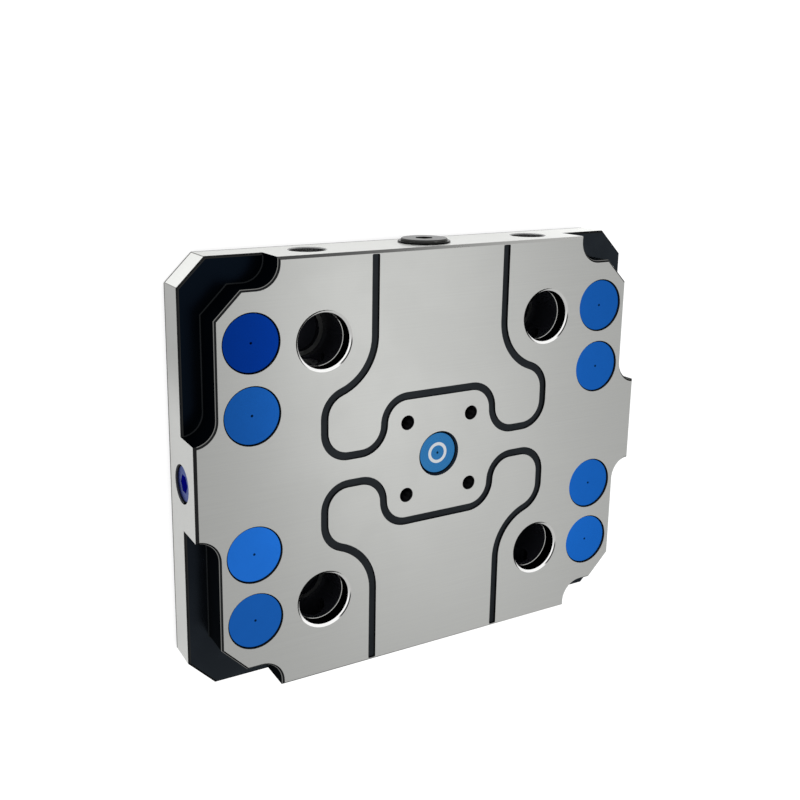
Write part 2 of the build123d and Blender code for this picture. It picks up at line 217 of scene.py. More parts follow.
class Nodes:
    """A short way to write the node tree of one material, group or world."""

    def __init__(self, tree):
        self.tree = tree
        tree.nodes.clear()

    def add(self, kind, links=None, values=None, **settings):
        """Make a node. links maps its inputs to output sockets, values maps them to numbers."""
        node = self.tree.nodes.new(kind)
        for name, value in settings.items():
            setattr(node, name, value)
        for name, value in (values or {}).items():
            node.inputs[name].default_value = value
        for name, source in (links or {}).items():
            self.tree.links.new(source, node.inputs[name])
        return node

    def link(self, source, target):
        self.tree.links.new(source, target)

    def feed(self, slot, term):
        """Give an input a socket to follow, or a value of its own."""
        if isinstance(term, bpy.types.NodeSocket):
            self.link(term, slot)
        else:
            slot.default_value = term

    def math(self, operation, *terms, clamp=False):
        """The output of a Math node on sockets and numbers."""
        node = self.add("ShaderNodeMath", operation=operation, use_clamp=clamp)
        for slot, term in zip(node.inputs, terms):
            self.feed(slot, term)
        return node.outputs[0]

    def mix(self, factor, first, second):
        """Mix of two colours, each a socket or four numbers."""
        node = self.add("ShaderNodeMix", data_type="RGBA")
        for index, term in ((0, factor), (6, first), (7, second)):
            self.feed(node.inputs[index], term)
        return node.outputs[2]

    def mix_shaders(self, factor, first, second):
        node = self.add("ShaderNodeMixShader")
        for slot, source in zip(node.inputs, (factor, first, second)):
            self.link(source, slot)
        return node.outputs[0]

    def ramp(self, value, low, high, out_low=0.0, out_high=1.0, smooth=True):
        """The value mapped from one range to another, with soft ends if smooth."""
        kind = "SMOOTHSTEP" if smooth else "LINEAR"
        spans = {"From Min": low, "From Max": high, "To Min": out_low, "To Max": out_high}
        node = self.add("ShaderNodeMapRange", {"Value": value}, spans, interpolation_type=kind)
        return node.outputs["Result"]

    def vary(self, noise, low, high):
        """A value that moves between two numbers as a noise does, over the noise's usual range."""
        return self.ramp(noise, 0.3, 0.7, low, high)

    def noise(self, vector, scale, detail):
        values = {"Scale": scale, "Detail": detail, "Roughness": 0.5}
        return self.add("ShaderNodeTexNoise", {"Vector": vector}, values).outputs["Fac"]

    def split(self, vector):
        """The three numbers of a vector, by the names X, Y and Z."""
        return self.add("ShaderNodeSeparateXYZ", {"Vector": vector}).outputs

    def length(self, x, y):
        """The length of a flat vector."""
        squares = self.math("ADD", self.math("MULTIPLY", x, x), self.math("MULTIPLY", y, y))
        return self.math("SQRT", squares)

    def bump(self, shader, height, strength, distance):
        """Feed the shader's normal from a height. The distance is in metres."""
        node = self.add("ShaderNodeBump", {"Height": height},
                        {"Strength": strength, "Distance": distance})
        self.link(node.outputs["Normal"], shader.inputs["Normal"])


def new_group(name, inputs, outputs, kind="ShaderNodeTree"):
    """An empty node group with named inputs (kind, default) and outputs (kind)."""
    tree = bpy.data.node_groups.new(name, kind)
    for label, (socket_kind, value) in inputs.items():
        socket = tree.interface.new_socket(label, in_out="INPUT", socket_type=socket_kind)
        if value is not None:
            socket.default_value = value
    for label, socket_kind in outputs.items():
        tree.interface.new_socket(label, in_out="OUTPUT", socket_type=socket_kind)
    nodes = Nodes(tree)
    return tree, nodes, nodes.add("NodeGroupInput"), nodes.add("NodeGroupOutput")


def grinding_group():
    """Fine parallel lines of a ground surface, and soft clouds where it was handled. The line and
    cloud sizes are in millimetres."""
    tree, n, given, out = new_group(
        "grinding",
        {"Vector": (VECTOR, None), "Line Width": (NUMBER, 0.5), "Line Length": (NUMBER, 40.0),
         "Cloud Size": (NUMBER, 30.0)},
        {"Lines": NUMBER, "Clouds": NUMBER})
    parts = n.split(given.outputs["Vector"])

    def lines(width_share, length_share, detail):
        width = n.math("MULTIPLY", given.outputs["Line Width"], width_share * MM)
        length = n.math("MULTIPLY", given.outputs["Line Length"], length_share * MM)
        place = n.add("ShaderNodeCombineXYZ", {
            "X": n.math("DIVIDE", parts["X"], length),
            "Y": n.math("DIVIDE", parts["Y"], width),
            "Z": n.math("DIVIDE", parts["Z"], width)})
        return n.noise(place.outputs["Vector"], 1.0, detail)

    coarse = lines(1.0, 1.0, 2.0)
    fine = lines(0.23, 0.5, 1.0)
    both = n.math("ADD", n.math("MULTIPLY", coarse, 0.6), n.math("MULTIPLY", fine, 0.4))
    cloud_size = n.math("MULTIPLY", given.outputs["Cloud Size"], MM)
    cloud = n.add("ShaderNodeTexNoise",
                  {"Vector": given.outputs["Vector"], "Scale": n.math("DIVIDE", 1.0, cloud_size)},
                  {"Detail": 3.0, "Roughness": 0.6}).outputs["Fac"]
    n.link(both, out.inputs["Lines"])
    n.link(n.ramp(cloud, 0.35, 0.68), out.inputs["Clouds"])
    return tree


def turning_group():
    """Fine rings of a turned face, from the distance to its axis in metres. The ring width is in
    millimetres."""
    tree, n, given, out = new_group(
        "turning", {"Radius": (NUMBER, 0.0), "Ring Width": (NUMBER, 0.12)}, {"Rings": NUMBER})
    width = n.math("MULTIPLY", given.outputs["Ring Width"], MM)
    uneven = n.add("ShaderNodeTexNoise", {"W": n.math("DIVIDE", given.outputs["Radius"], width)},
                   {"Scale": 1.0, "Detail": 1.0}, noise_dimensions="1D").outputs["Fac"]
    n.link(uneven, out.inputs["Rings"])
    return tree


def object_place(nodes):
    return nodes.add("ShaderNodeTexCoord").outputs["Object"]


def between(nodes, value, low, high):
    """Mask that is 1 where a length lies between two sizes in millimetres."""
    soft = MASK_SOFTNESS * MM
    above = nodes.ramp(value, low * MM - soft, low * MM + soft)
    below = nodes.ramp(value, high * MM - soft, high * MM + soft, 1.0, 0.0)
    return nodes.math("MULTIPLY", above, below)


# Materials

def rgba(colour, share=1.0):
    """A colour times a share, as the four numbers of a colour input."""
    return tuple(c * share for c in colour) + (1,)


def grey(tone, warmth=1.0):
    """A grey with its blue times the warmth, as the four numbers of a colour input."""
    return tone, tone, tone * warmth, 1


def blued(tone, blue):
    """A grey that leans to blue by a ratio, as the four numbers of a colour input."""
    return tone / blue, tone, tone * blue, 1


def new_material(name, **shader_values):
    """A material with one Principled shader, whose plain inputs are given by name."""
    material = bpy.data.materials.new(name)
    material.use_nodes = True
    nodes = Nodes(material.node_tree)
    values = {label.replace("_", " "): value for label, value in shader_values.items()}
    shader = nodes.add("ShaderNodeBsdfPrincipled", values=values)
    nodes.add("ShaderNodeOutputMaterial", {"Surface": shader.outputs["BSDF"]})
    return material, nodes, shader


def ground_steel(name, grinding, tone=0.323, line_width=0.5, painted_contact_shadow=None, corner=False,
                 painted_shading=None):
    """Surface ground steel. Between two given heights it paints a dark band, a painted contact
    shadow along the lower edge, and corner paints a dark line of shade along a corner facet's own
    edges. An axis with two places on it and a factor paint light and shade: between the places the
    tone changes, and the factor is how many times as light it gets."""
    material, n, shader = new_material(name, Metallic=1.0, Anisotropic=0.55,
                                       Anisotropic_Rotation=0.25)
    place = object_place(n)
    grain = n.add("ShaderNodeGroup", node_tree=grinding)
    n.feed(grain.inputs["Vector"], place)
    n.feed(grain.inputs["Line Width"], line_width)
    lines, clouds = grain.outputs["Lines"], grain.outputs["Clouds"]
    line_mask = n.ramp(lines, 0.35, 0.65, smooth=False)

    def lined(level):
        return n.mix(line_mask, rgba(STEEL_TINT, level * 0.975), rgba(STEEL_TINT, level * 1.025))

    colour = lined(tone)
    # Painted light and shade: the tone changes along an axis
    if painted_shading:
        axis, start, end, change = painted_shading
        along = n.ramp(n.split(place)[axis], start * MM, end * MM)
        colour = n.mix(along, colour, lined(tone * change))
    # Painted contact shadow: a dark band between two heights
    if painted_contact_shadow:
        colour = n.mix(between(n, n.split(place)["Z"], *painted_contact_shadow), colour, (0.06, 0.06, 0.055, 1))
    # Painted shade: a dark line along each edge of a corner facet
    if corner:
        x, y = (n.math("ABSOLUTE", n.split(place)[axis]) for axis in "XY")
        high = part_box("clamping_plate")[1]
        across = n.math("SUBTRACT", n.math("SUBTRACT", x, y), high.x - high.y)
        at_edge = between(n, n.math("ABSOLUTE", across), CORNER_CUT - CORNER_EDGE_SHADE,
                          CORNER_CUT + CORNER_EDGE_SHADE)
        colour = n.mix(at_edge, colour, (0.22, 0.22, 0.21, 1))
    n.link(colour, shader.inputs["Base Color"])
    rough = n.math("ADD", n.ramp(clouds, 0, 1, 0.32, 0.345), n.vary(lines, -0.02, 0.02))
    n.link(rough, shader.inputs["Roughness"])
    n.bump(shader, lines, 0.12, 0.00003)
    tangent = n.add("ShaderNodeTangent", direction_type="UV_MAP", uv_map="grain")
    n.link(tangent.outputs["Tangent"], shader.inputs["Tangent"])
    return material


def mottled(name, low, high, rough, scale, detail, **shader_values):
    """A surface that changes softly from one colour to another, and in roughness with it."""
    material, n, shader = new_material(name, **shader_values)
    stain = n.noise(object_place(n), scale, detail)
    n.link(n.mix(stain, low, high), shader.inputs["Base Color"])
    n.link(n.vary(stain, *rough), shader.inputs["Roughness"])
    return material


def polished_steel(name, tone, roughness, glare=1.0):
    return mottled(name, rgba((0.93, 0.94, 0.95), tone), grey(tone),
                   (roughness - 0.03, roughness + 0.04), 900.0, 2.0,
                   Metallic=1.0, Specular_Tint=grey(glare))


def plain_metal(name, colour, roughness, glare=1.0, metallic=1.0):
    return mottled(name, rgba(colour, 0.9), rgba(colour),
                   (roughness - 0.04, roughness + 0.05), 400.0, 3.0,
                   Metallic=metallic, Specular_Tint=grey(glare))


def seal_rubber():
    return mottled("seal rubber", grey(0.012), grey(0.022), (0.5, 0.6), 3000.0, 2.0)


def bore_mouth_steel():
    """Polished mouths of the stud bores, with painted reflections. Round each bore, a painted
    highlight makes the lower side the brightest, and painted shade makes the outer chamfer dark next
    to it."""
    material, n, shader = new_material("polished steel with painted reflections", Metallic=1.0, Roughness=0.07,
                                       Specular_Tint=grey(0))
    parts = n.split(object_place(n))
    reach = STUD_PLACE * MM
    x, y = (n.math("WRAP", n.math("SUBTRACT", parts[axis], reach), -reach, reach)
            for axis in "XY")
    angle = n.math("ARCTAN2", y, x)

    def sector(rise, fall):
        """1 between two angles in degrees, each given as the start and end of its soft edge."""
        rise, fall = ([math.radians(a) for a in edge] for edge in (rise, fall))
        return n.math("MULTIPLY", n.ramp(angle, *rise), n.ramp(angle, *fall, 1.0, 0.0))

    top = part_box("clamping_plate")[1].z
    outer = n.ramp(parts["Z"], *(top - depth * MM for depth in MOUTH_LINE))
    inner = n.math("SUBTRACT", 1.0, outer)
    # Painted highlights: lighter sectors on the lower side of each mouth
    bright = n.math("ADD", n.math("MULTIPLY", outer, sector((-165, -140), (-60, -50))),
                    n.math("MULTIPLY", inner, sector((-165, -140), (-20, 15))))
    # Painted shade: a dark sector on the outer chamfer
    dark = n.math("MULTIPLY", outer, sector((-58, -48), (-8, 6)))
    colour = n.mix(bright, (0.5, 0.5, 0.49, 1), (0.95, 0.95, 0.94, 1))
    n.link(n.mix(dark, colour, grey(0.06)), shader.inputs["Base Color"])
    return material


def black_oxide(name, tone, blue, roughness=0.25, glare=0.1, wear_and_highlight=None, rubbed_and_lit=None, corner_painted_shade=None):
    """Blackened steel that mirrors little even at a low angle. Two heights and a tone paint a band
    of
    bare steel along an edge: wear, and a painted highlight. An axis, two places on it and a tone
    make
    the oxide give way to lighter bare steel: rubbing and a painted highlight on the screw's face,
    painted light on the long rim. The last tone paints shade, with darker and bluer oxide, towards
    the upper left corner."""
    material, n, shader = new_material(name, Metallic=0.75, Specular_IOR_Level=0.0,
                                       Specular_Tint=blued(glare, blue))
    place = object_place(n)
    mottle = n.noise(place, 90.0, 3.0)
    speck = n.noise(place, 1800.0, 2.0)
    colour = n.mix(n.ramp(mottle, 0.35, 0.65), blued(tone * 0.9, blue), blued(tone * 1.1, blue))
    # Wear and painted highlight: a band of bare steel along an edge
    if wear_and_highlight:
        low, high, bare = wear_and_highlight
        colour = n.mix(between(n, n.split(place)["Z"], low, high), colour, grey(bare, BARE_WARMTH))
    # Painted shade: darker, bluer oxide towards the upper left corner
    if corner_painted_shade:
        parts = n.split(place)
        to_corner = n.math("SUBTRACT", parts["Y"], parts["X"])
        colour = n.mix(n.ramp(to_corner, 0.0, PAINTED_SHADE_REACH * MM, smooth=False), colour,
                       blued(corner_painted_shade, PAINTED_SHADE_BLUE))
    # Rubbing and painted light: lighter bare steel along an axis
    if rubbed_and_lit:
        axis, start, end, bare = rubbed_and_lit
        along = n.ramp(n.split(place)[axis], start * MM, end * MM)
        colour = n.mix(along, colour, grey(bare, BARE_WARMTH))
    n.link(colour, shader.inputs["Base Color"])
    rough = n.math("ADD", n.vary(mottle, roughness - 0.02, roughness + 0.02),
                   n.vary(speck, -0.02, 0.02))
    n.link(rough, shader.inputs["Roughness"])
    n.bump(shader, speck, 0.1, 0.00001)
    return material


def cover_radius(nodes, reach_x, pitch_y):
    """Distance from the nearest cover's axis, in metres, for covers at plus and minus reach_x. With
    a pitch, they repeat along Y."""
    parts = nodes.split(object_place(nodes))
    x = nodes.math("SUBTRACT", nodes.math("ABSOLUTE", parts["X"]), reach_x)
    y = nodes.math("WRAP", parts["Y"], -pitch_y / 2, pitch_y / 2) if pitch_y else parts["Y"]
    return nodes.length(x, y)


def anodised(name, dye, roughness, turning, places, edge, glare, mark=None):
    """Turned aluminium, anodised in a colour: rings just visible, painted shade that darkens the
    centre dimple and the dye outside the edge radius, and a printed white ring between the mark's
    radii.
    Places are the two numbers of cover_radius."""
    material, n, shader = new_material(name, Metallic=1.0, Specular_Tint=glare)
    radius = cover_radius(n, *places)
    rings = n.add("ShaderNodeGroup", node_tree=turning)
    n.link(radius, rings.inputs["Radius"])
    rings = rings.outputs["Rings"]
    stain = n.noise(object_place(n), 220.0, 3.0)
    uneven = n.math("ADD", n.math("MULTIPLY", rings, 0.5), n.math("MULTIPLY", stain, 0.5))
    colour = n.mix(uneven, rgba(dye, 0.92), rgba(dye, 1.06))
    rough = n.ramp(rings, 0.25, 0.75, roughness - 0.03, roughness + 0.03)
    if mark:
        printed = between(n, radius, *mark)
        colour = n.mix(printed, colour, (0.62, 0.63, 0.64, 1))
        rough = n.math("ADD", rough, n.math("MULTIPLY", printed, 0.2))
        n.link(n.math("SUBTRACT", 1.0, printed), shader.inputs["Metallic"])
    # Painted shade in the centre dimple and round the cover's edge
    deep = n.math("ADD", between(n, radius, -1, DIMPLE_RADIUS), between(n, radius, edge, 2 * edge),
                  clamp=True)
    n.link(n.mix(deep, colour, rgba(dye, 0.12)), shader.inputs["Base Color"])
    n.link(rough, shader.inputs["Roughness"])
    n.bump(shader, rings, 0.15, 0.00001)
    return material


def side_plug_blue():
    """Blue anodised plug along X, its socket painted a lighter, purer blue than its ring, as if lit
    inside.
    """
    material, n, shader = new_material("deep blue anodised", Specular_Tint=(0.3, 0.5, 0.9, 1))
    place = object_place(n)
    parts = n.split(place)
    low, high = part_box("side_plug_left")
    radius = n.length(n.math("SUBTRACT", parts["Z"], (low.z + high.z) / 2), parts["Y"])
    start, end = (-low.x - depth * MM for depth in SOCKET_START)
    behind_face = n.ramp(n.math("ABSOLUTE", parts["X"]), start, end, 1.0, 0.0)
    # Painted light: the socket a lighter, purer, non-metallic blue, as if lit inside
    socket_painted_light = n.math("MULTIPLY", between(n, radius, -1, SOCKET_REACH), behind_face)
    stain = n.noise(place, 220.0, 3.0)
    ring = n.mix(stain, (0.001, 0.01, 0.11, 1), (0.002, 0.013, 0.14, 1))
    n.link(n.mix(socket_painted_light, ring, (0.003, 0.004, 0.32, 1)), shader.inputs["Base Color"])
    n.link(n.ramp(socket_painted_light, 0, 1, 0.5, 0.0), shader.inputs["Metallic"])
    n.link(n.vary(stain, 0.22, 0.28), shader.inputs["Roughness"])
    return material


def thread_steel():
    """Dark tapped threads, with a painted highlight on their crests."""
    material, n, shader = new_material("dark steel threads", Metallic=1.0,
                                       Specular_Tint=grey(0.1))
    place = object_place(n)
    parts = n.split(place)
    x, y = (n.math("SUBTRACT", n.math("ABSOLUTE", parts[axis]), TAP_PLACE * MM) for axis in "XY")
    # Painted highlight on the thread crests
    crest_highlight = between(n, n.length(x, y), *THREAD_CREST_HIGHLIGHT)
    stain = n.noise(place, 400.0, 3.0)
    dark = n.mix(stain, (0.003, 0.003, 0.0035, 1), (0.005, 0.005, 0.0055, 1))
    n.link(n.mix(crest_highlight, dark, grey(0.03)), shader.inputs["Base Color"])
    n.link(n.vary(stain, 0.2, 0.27), shader.inputs["Roughness"])
    return material


def plate_finishes():
    """The plate's materials by the names of its finishes."""
    grinding = grinding_group()
    return {
        "face": ground_steel("ground steel", grinding),
        # The sides, ends and corner facets are lighter copies of the face's ground steel, one tone
        # each as painted light; the sides and ends also get painted gradients of light and shade,
        # and all three a painted contact shadow along their lower edge
        "side": ground_steel("ground steel sides", grinding, tone=0.69, painted_contact_shadow=UNDER_EDGE_PAINTED_SHADOW,
                             painted_shading=(*SIDE_PAINTED_LIGHT, 1.25)),
        "end side": ground_steel("ground steel ends", grinding, tone=0.51, painted_contact_shadow=UNDER_EDGE_PAINTED_SHADOW,
                                 painted_shading=(*END_PAINTED_SHADE, 0.67)),
        "corner": ground_steel("milled corner", grinding, tone=0.85, painted_contact_shadow=UNDER_EDGE_PAINTED_SHADOW,
                               corner=True),
        "base": ground_steel("ground steel base", grinding, line_width=0.8),
        "polished": bore_mouth_steel(),
        # A bare band from wear round the bore ring, also a painted highlight
        "bore ring": black_oxide("dark steel bore ring", 0.01, 1.0, roughness=0.12,
                                 wear_and_highlight=(*RING_WEAR_AND_HIGHLIGHT, 0.6)),
        "plug hole": polished_steel("bored steel", 0.28, 0.25),
        "guide": polished_steel("honed steel", 0.02, 0.12, glare=0.1),
        "hole edge": black_oxide("black oxide hole edge", 0.012, 1.05, roughness=0.3),
        # Painted reflection of the blue centre cover: the centre bore's edge and wall lean to blue
        "centre edge": black_oxide("black oxide centre edge", 0.014, 1.6, roughness=0.2),
        "centre bore": plain_metal("centre bore with painted blue reflection", (0.012, 0.02, 0.07), 0.2, glare=0.1),
        "thread": thread_steel(),
        "rim": black_oxide("black oxide rim", 0.016, 1.02, roughness=0.35, glare=0.2),
        # Painted light: the long rims lighter towards +X
        "long rim": black_oxide("black oxide long rim", 0.07, 1.0, roughness=0.3, glare=0.4,
                                rubbed_and_lit=(*RIM_PAINTED_LIGHT, 0.43)),
        # Bare bands from wear on the wall and ledge edges, also painted highlights
        "wall edge": black_oxide("black oxide wall edge", 0.015, 1.05, roughness=0.3, glare=0.2,
                                 wear_and_highlight=(*WALL_EDGE_WEAR_AND_HIGHLIGHT, 0.2)),
        "wall foot": black_oxide("black oxide wall foot", 0.013, 1.1, roughness=0.3),
        "ledge edge": black_oxide("black oxide ledge edge", 0.014, 1.05, roughness=0.3,
                                  wear_and_highlight=(*LEDGE_EDGE_WEAR_AND_HIGHLIGHT, 0.025)),
        "groove": black_oxide("black oxide groove", 0.016, 1.13, roughness=0.35),
        # Painted shade towards the upper left corner
        "oxide": black_oxide("black oxide", 0.018, 1.2, corner_painted_shade=0.0045),
        "bore step": plain_metal("turned bore step", (0.16, 0.165, 0.16), 0.4, glare=0.15),
        "bore": plain_metal("dark steel in the bores", (0.035, 0.037, 0.046), 0.22, glare=0.15,
                            metallic=0.6),
    }


def piece_materials():
    """The other pieces' materials, by a word that their names hold."""
    turning = turning_group()
    low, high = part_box("mounting_cover_5")
    pitch_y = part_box("mounting_cover_1")[0].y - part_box("mounting_cover_2")[0].y
    places = (low.x / 2 + high.x / 2, pitch_y)
    # Each cover's dye carries painted light and shade, one tone per cover
    dyes_and_painted_light = [FIRST_COVER_DYE_AND_SHADE] + [[c * tone for c in COVER_DYE] for tone in COVER_PAINTED_LIGHT]
    covers = {f"mounting_cover_{i}": anodised(f"blue anodised {i}", dye, 0.22, turning, places,
                                              COVER_EDGE, (0.25, 0.4, 0.8, 1))
              for i, dye in enumerate(dyes_and_painted_light, 1)}
    face_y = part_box("actuator_bush")[1].y / MM
    # Bare steel from rubbing on the screw's front face, also a painted highlight
    rubbed_and_lit = ("Y", *(face_y - depth for depth in SCREW_FACE_RUB_AND_HIGHLIGHT), 0.05)
    screw_black = black_oxide("black oxide screw", 0.005, 1.0, roughness=0.15, glare=0.8,
                              rubbed_and_lit=rubbed_and_lit)
    spring = plain_metal("spring steel", (0.45, 0.45, 0.46), 0.3)
    return {
        "centre_cover": anodised("light blue anodised", CENTRE_COVER_DYE, 0.25, turning, (0, None),
                                 CENTRE_COVER_EDGE, (0.3, 0.5, 0.85, 1), mark=CENTRE_MARK),
        "side_plug": side_plug_blue(),
        "bore_plug": screw_black,
        "actuator_bush": screw_black,
        "actuating_screw": screw_black,
        "seal": seal_rubber(),
        "spring": spring,
        "retaining_ring": spring,
        **covers,
    }


# Plate

def near(place, points, radius):
    """True if a place in plan lies within a radius of one of the points."""
    return any(math.hypot(place.x - x, place.y - y) < radius + TOLERANCE for x, y in points)


class PlatePlan:
    """Where the plate's forms are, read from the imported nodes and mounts, in millimetres."""

    def __init__(self, record):
        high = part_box("clamping_plate")[1] / MM
        self.half_x, self.half_y, self.top = high
        mounts = {m["name"]: m for m in record["mounts"]}
        bores = [m for m in mounts.values() if m["kind"] == "bore"]
        self.studs = [(m["pos_m"][0] / MM, m["pos_m"][1] / MM) for m in bores]
        self.stud_radius = bores[0]["dims"]["r_mm"]
        self.shelf = mounts["clamp_ledge_upper_right"]["pos_m"][2] / MM
        covers = [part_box(f"mounting_cover_{i}") for i in range(1, 9)]
        self.covers = [tuple(((a + b) / 2 / MM)[:2]) for a, b in covers]
        self.cover_radius = (covers[0][1].x - covers[0][0].x) / 2 / MM
        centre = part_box("centre_cover")
        self.centre_radius = (centre[1].x - centre[0].x) / 2 / MM
        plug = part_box("bore_plug_upper_right")
        self.stud_x = (plug[0].x + plug[1].x) / 2 / MM
        self.plug_height = (plug[0].z + plug[1].z) / 2 / MM
        self.plug_radius = (plug[1].x - plug[0].x) / 2 / MM
        taps = mounts["centre_thread_holes"]["dims"]
        self.taps = [(sx * taps["spacing_x_mm"] / 2, sy * taps["spacing_y_mm"] / 2)
                     for sx in (-1, 1) for sy in (-1, 1)]
        self.tap_radius = taps["hole_r_mm"]


def hole_finish(place, flat, upright, plan):
    """Name of the finish of a face in one of the plate's holes, or None if it lies in none."""
    if near(place, plan.studs, plan.stud_radius + MOUTH_WIDTH):
        if place.z > plan.top - MOUTH_DEPTH - TOLERANCE and not upright:
            return "polished"
        if place.z > plan.top - GUIDE_DEPTH:
            return "guide"
        if place.z > plan.top - GUIDE_DEPTH - RING_HEIGHT - TOLERANCE and not upright:
            return "bore ring"
        return "bore step" if flat and place.z > plan.top - STEP_DEPTH - TOLERANCE else "bore"
    if near(place, plan.covers, plan.cover_radius + COVER_SEAT_MARGIN):
        return "bore"
    if near(place, [(0, 0)], plan.centre_radius + CENTRE_MOUTH + MARGIN):
        in_mouth = place.z > plan.top - CENTRE_MOUTH and not upright
        return "centre edge" if in_mouth else "centre bore"
    if near(place, plan.taps, plan.tap_radius + THREAD_DEPTH):
        return "hole edge" if place.z > plan.top - TAP_CHAMFER and not upright else "thread"
    in_side = plan.half_y - PLUG_HOLE_DEPTH < abs(place.y) < plan.half_y - TOLERANCE
    from_plug = math.hypot(abs(place.x) - plan.stud_x, place.z - plan.plug_height)
    if in_side and from_plug < plan.plug_radius + PLUG_HOLE_MARGIN:
        return "plug hole"
    return None


def outer_finish(place, normal, flat, upright, plan):
    """Name of the finish of a face of the grooves, sides, pockets or edges."""
    x, y = abs(place.x), abs(place.y)
    in_face = place.z > plan.top - GROOVE_DEPTH - TOLERANCE and x < plan.half_x - RIM_CHAMFER
    if in_face and (flat or upright):
        return "groove"
    if upright:
        diagonal = abs(abs(normal.x) - abs(normal.y)) < NORMAL_SLACK
        if diagonal and x + y > plan.half_x + plan.half_y - CORNER_CUT - MARGIN:
            return "corner"
        if x > plan.half_x - TOLERANCE:
            return "end side"
        if y > plan.half_y - TOLERANCE:
            return "side"
    elif not flat:
        if place.z < RIM_CHAMFER:
            return "oxide"
        if place.z > plan.top - RIM_CHAMFER:
            on_long_side = y > plan.half_y - RIM_CHAMFER
            if on_long_side and abs(normal.y) > TILTED_NORMAL:
                return "long rim"
            return "rim" if on_long_side or x > plan.half_x - RIM_CHAMFER else "wall edge"
        if plan.shelf < place.z < plan.shelf + WALL_FOOT_RADIUS:
            return "wall foot"
        if plan.shelf - EDGE_CHAMFER < place.z < plan.shelf:
            return "ledge edge"
    return "oxide" if place.z > plan.shelf - TOLERANCE else "bore"


def finish_of(place, normal, plan):
    """Name of the finish of one face of the plate, from where it lies and how it faces."""
    flat = abs(normal.z) > FLAT_NORMAL
    upright = abs(normal.z) < NORMAL_SLACK
    if flat and place.z > plan.top - TOLERANCE:
        return "face"
    if flat and place.z < TOLERANCE:
        return "base"
    in_hole = hole_finish(place, flat, upright, plan)
    return in_hole or outer_finish(place, normal, flat, upright, plan)


def own_copy(node, name):
    """A welded copy of a CAD node's mesh, and a new object at the origin to put it in."""
    mesh = bmesh.new()
    mesh.from_mesh(node.data)
    bmesh.ops.remove_doubles(mesh, verts=mesh.verts, dist=WELD_DISTANCE_M)
    piece = bpy.data.objects.new(name, bpy.data.meshes.new(name))
    bpy.context.scene.collection.objects.link(piece)
    return piece, mesh


def thread_tree():
    """The walls of internally threaded holes at the corners of a square, shallow at both ends."""
    sizes = ("Radius", "Thread Depth", "Pitch", "Length", "Top", "Spacing")
    tree, n, given, out = new_group(
        "threaded holes",
        {**{label: (NUMBER, None) for label in sizes}, "Sides": (COUNT, None),
         "Rows": (COUNT, None), "Material": (MATERIAL, None)},
        {"Geometry": GEOMETRY}, kind="GeometryNodeTree")
    given = given.outputs
    wall = n.add("GeometryNodeMeshGrid",
                 {"Vertices X": n.math("ADD", given["Sides"], 1.0), "Vertices Y": given["Rows"]},
                 {"Size X": 1.0, "Size Y": 1.0})
    flat = n.split(n.add("GeometryNodeInputPosition").outputs[0])
    share = n.math("ADD", flat["X"], 0.5)
    angle = n.math("MULTIPLY", share, math.tau)
    below = n.math("MULTIPLY", n.math("ADD", flat["Y"], 0.5), given["Length"])
    above = n.math("SUBTRACT", given["Length"], below)
    turns = n.math("ADD", n.math("DIVIDE", below, given["Pitch"]), share)
    vee = n.math("MULTIPLY", n.math("PINGPONG", turns, 0.5), 2.0)
    profile = n.ramp(vee, 0.12, 0.88, smooth=False)
    lead_in, run_out = (n.math("DIVIDE", way, given["Pitch"], clamp=True)
                        for way in (below, above))
    depth = n.math("MULTIPLY", n.math("MULTIPLY", profile, given["Thread Depth"]),
                   n.math("MULTIPLY", lead_in, run_out))
    radius = n.math("ADD", given["Radius"], depth)
    place = n.add("ShaderNodeCombineXYZ", {
        "X": n.math("MULTIPLY", radius, n.math("COSINE", angle)),
        "Y": n.math("MULTIPLY", radius, n.math("SINE", angle)),
        "Z": n.math("SUBTRACT", given["Top"], below)})
    rolled = n.add("GeometryNodeSetPosition",
                   {"Geometry": wall.outputs["Mesh"], "Position": place.outputs["Vector"]})
    closed = n.add("GeometryNodeMergeByDistance", {"Geometry": rolled.outputs["Geometry"]},
                   {"Distance": WELD_DISTANCE_M})
    square = n.add("GeometryNodeMeshGrid",
                   {"Size X": given["Spacing"], "Size Y": given["Spacing"]},
                   {"Vertices X": 2, "Vertices Y": 2})
    placed = n.add("GeometryNodeInstanceOnPoints",
                   {"Points": square.outputs["Mesh"], "Instance": closed.outputs["Geometry"]})
    real = n.add("GeometryNodeRealizeInstances", {"Geometry": placed.outputs["Instances"]})
    coated = n.add("GeometryNodeSetMaterial",
                   {"Geometry": real.outputs["Geometry"], "Material": given["Material"]})
    n.link(coated.outputs["Geometry"], out.inputs["Geometry"])
    return tree


def mesh_from_tree(tree, values):
    """The mesh that a geometry node tree makes from the given values of its inputs."""
    data = bpy.data.meshes.new(tree.name)
    host = bpy.data.objects.new(tree.name, data)
    bpy.context.scene.collection.objects.link(host)
    modifier = host.modifiers.new(tree.name, "NODES")
    modifier.node_group = tree
    for socket in tree.interface.items_tree:
        if socket.in_out == "INPUT":
            modifier[socket.identifier] = values[socket.name]
    evaluated = host.evaluated_get(bpy.context.evaluated_depsgraph_get())
    result = bpy.data.meshes.new_from_object(evaluated)
    host.modifiers.remove(modifier)
    bpy.data.objects.remove(host)
    bpy.data.meshes.remove(data)
    return result


